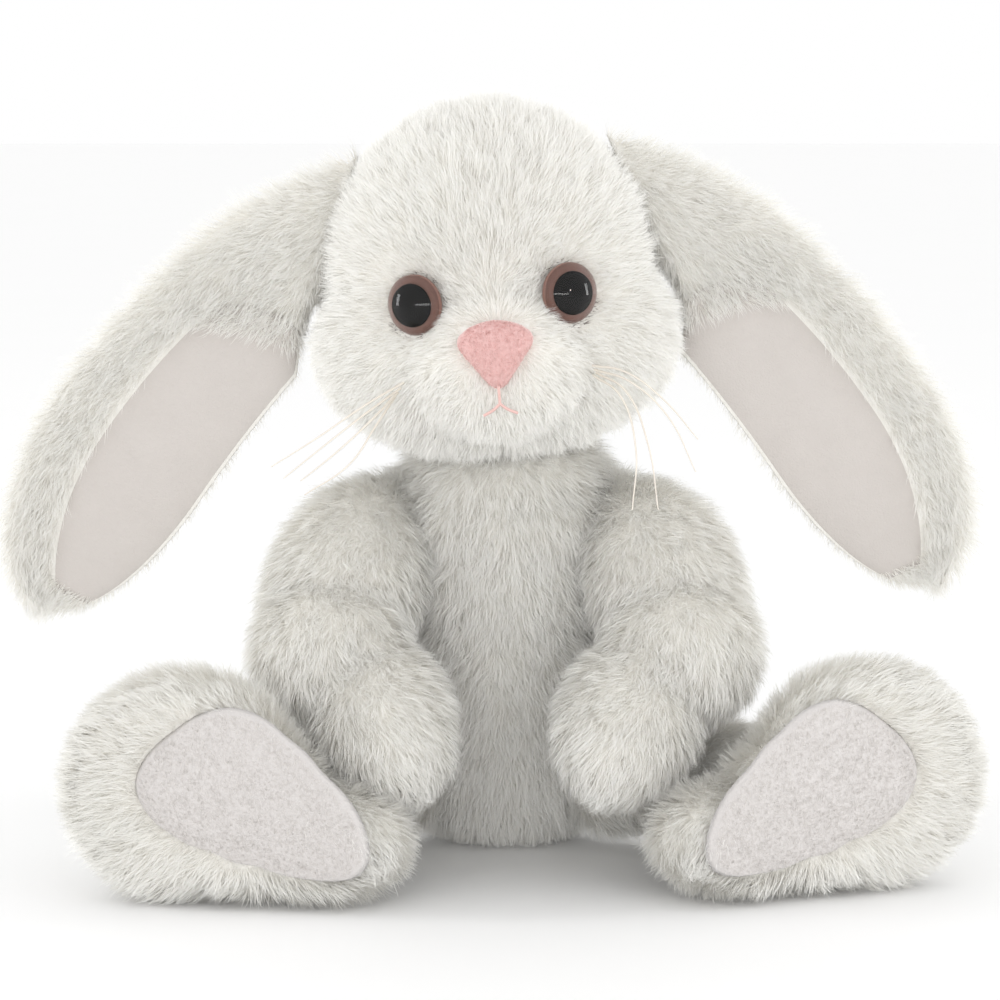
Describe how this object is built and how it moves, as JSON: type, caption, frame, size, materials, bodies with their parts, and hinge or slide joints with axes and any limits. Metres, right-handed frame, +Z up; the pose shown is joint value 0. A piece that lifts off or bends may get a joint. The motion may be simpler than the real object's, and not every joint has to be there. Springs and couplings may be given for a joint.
{
  "type": "plush rabbit",
  "caption": "Seated plush rabbit with hanging lop ears, stuffed limbs with flat soles, moulded eyes and a tail; head, ears, arms and legs turn at their seams.",
  "frame": {"origin": "on the flat underside of the seat, straight below the middle of the neck", "axes": "+Z up through the head, -Y towards the front that the face looks at, +X towards the rabbit's own left"},
  "size_m": [0.1806, 0.1, 0.1429],
  "materials": {
    "plush": "dense long-pile white plush with a warm tint, brushed and slightly clumped",
    "ear_lining": "smooth short-nap velour, pale pinkish grey",
    "sole_plush": "short-pile plush, pale warm grey",
    "rose_velour": "dense short velour, matt rose pink",
    "rose_thread": "twisted embroidery thread, soft sheen",
    "sewing_thread": "twisted sewing thread",
    "bristle": "stiff translucent nylon bristle",
    "clear_eye": "polished clear moulded plastic",
    "black_eye": "polished black",
    "brown_eye": "painted rose brown, satin",
    "washer_plastic": "plain moulded plastic",
    "pouch_cloth": "plain woven cotton",
    "stuffing": "loose polyester fibre"
  },
  "bodies": {
    "torso": {"belly_panel_left": "plush", "belly_panel_right": "plush", "back_panel_left": "plush", "back_panel_right": "plush", "seat_panel": "plush", "torso_stuffing": "stuffing", "pellet_pouch": "pouch_cloth", "back_closing_stitches": "sewing_thread", "tail_cover": "plush", "tail_stuffing": "stuffing"},
    "neck": {"neck_stuffing": "stuffing", "neck_thread": "sewing_thread"},
    "head": {"head_gusset": "plush", "head_panel_left": "plush", "head_panel_right": "plush", "chin_panel": "plush", "head_stuffing": "stuffing", "eye_lens_left": "clear_eye", "eye_lens_right": "clear_eye", "eye_pupil_left": "black_eye", "eye_pupil_right": "black_eye", "eye_disc_left": "brown_eye", "eye_disc_right": "brown_eye", "eye_washer_left": "washer_plastic", "eye_washer_right": "washer_plastic", "nose_pad": "rose_velour", "mouth_stitches": "rose_thread", "whiskers_left": "bristle", "whiskers_right": "bristle"},
    "ear_left": {"ear_back_left": "plush", "ear_lining_left": "ear_lining"},
    "arm_left": {"arm_cover_left": "plush", "arm_stuffing_left": "stuffing"},
    "leg_left": {"leg_cover_left": "plush", "sole_pad_left": "sole_plush", "leg_stuffing_left": "stuffing"},
    "ear_right": {"ear_back_right": "plush", "ear_lining_right": "ear_lining"},
    "arm_right": {"arm_cover_right": "plush", "arm_stuffing_right": "stuffing"},
    "leg_right": {"leg_cover_right": "plush", "sole_pad_right": "sole_plush", "leg_stuffing_right": "stuffing"}
  },
  "joints": [
    {"name": "neck_turn", "type": "hinge", "parent": "torso", "child": "neck", "pos_m": [0, 0, 0.076], "axis": [0, 0, 1], "range_deg": [-18, 18]},
    {"name": "head_nod", "type": "hinge", "parent": "neck", "child": "head", "pos_m": [0, 0, 0.076], "axis": [1, 0, 0], "range_deg": [-8, 6]},
    {"name": "ear_left_swing", "type": "hinge", "parent": "head", "child": "ear_left", "pos_m": [0.02727, -0.002, 0.11952], "axis": [0.3987, 0, -0.9171], "range_deg": [-35, 35]},
    {"name": "ear_right_swing", "type": "hinge", "parent": "head", "child": "ear_right", "pos_m": [-0.03374, -0.002, 0.11472], "axis": [0.2504, 0, 0.9681], "range_deg": [-35, 35]},
    {"name": "arm_left_raise", "type": "hinge", "parent": "torso", "child": "arm_left", "pos_m": [0.0205, -0.002, 0.0605], "axis": [-1, 0, 0], "range_deg": [0, 20]},
    {"name": "arm_right_raise", "type": "hinge", "parent": "torso", "child": "arm_right", "pos_m": [-0.0205, -0.002, 0.0605], "axis": [-1, 0, 0], "range_deg": [0, 20]},
    {"name": "leg_left_splay", "type": "hinge", "parent": "torso", "child": "leg_left", "pos_m": [0.019, -0.005, 0.0145], "axis": [0, 0, 1], "range_deg": [-12, 18]},
    {"name": "leg_right_splay", "type": "hinge", "parent": "torso", "child": "leg_right", "pos_m": [-0.019, -0.005, 0.0145], "axis": [0, 0, -1], "range_deg": [0, 30]}
  ]
}
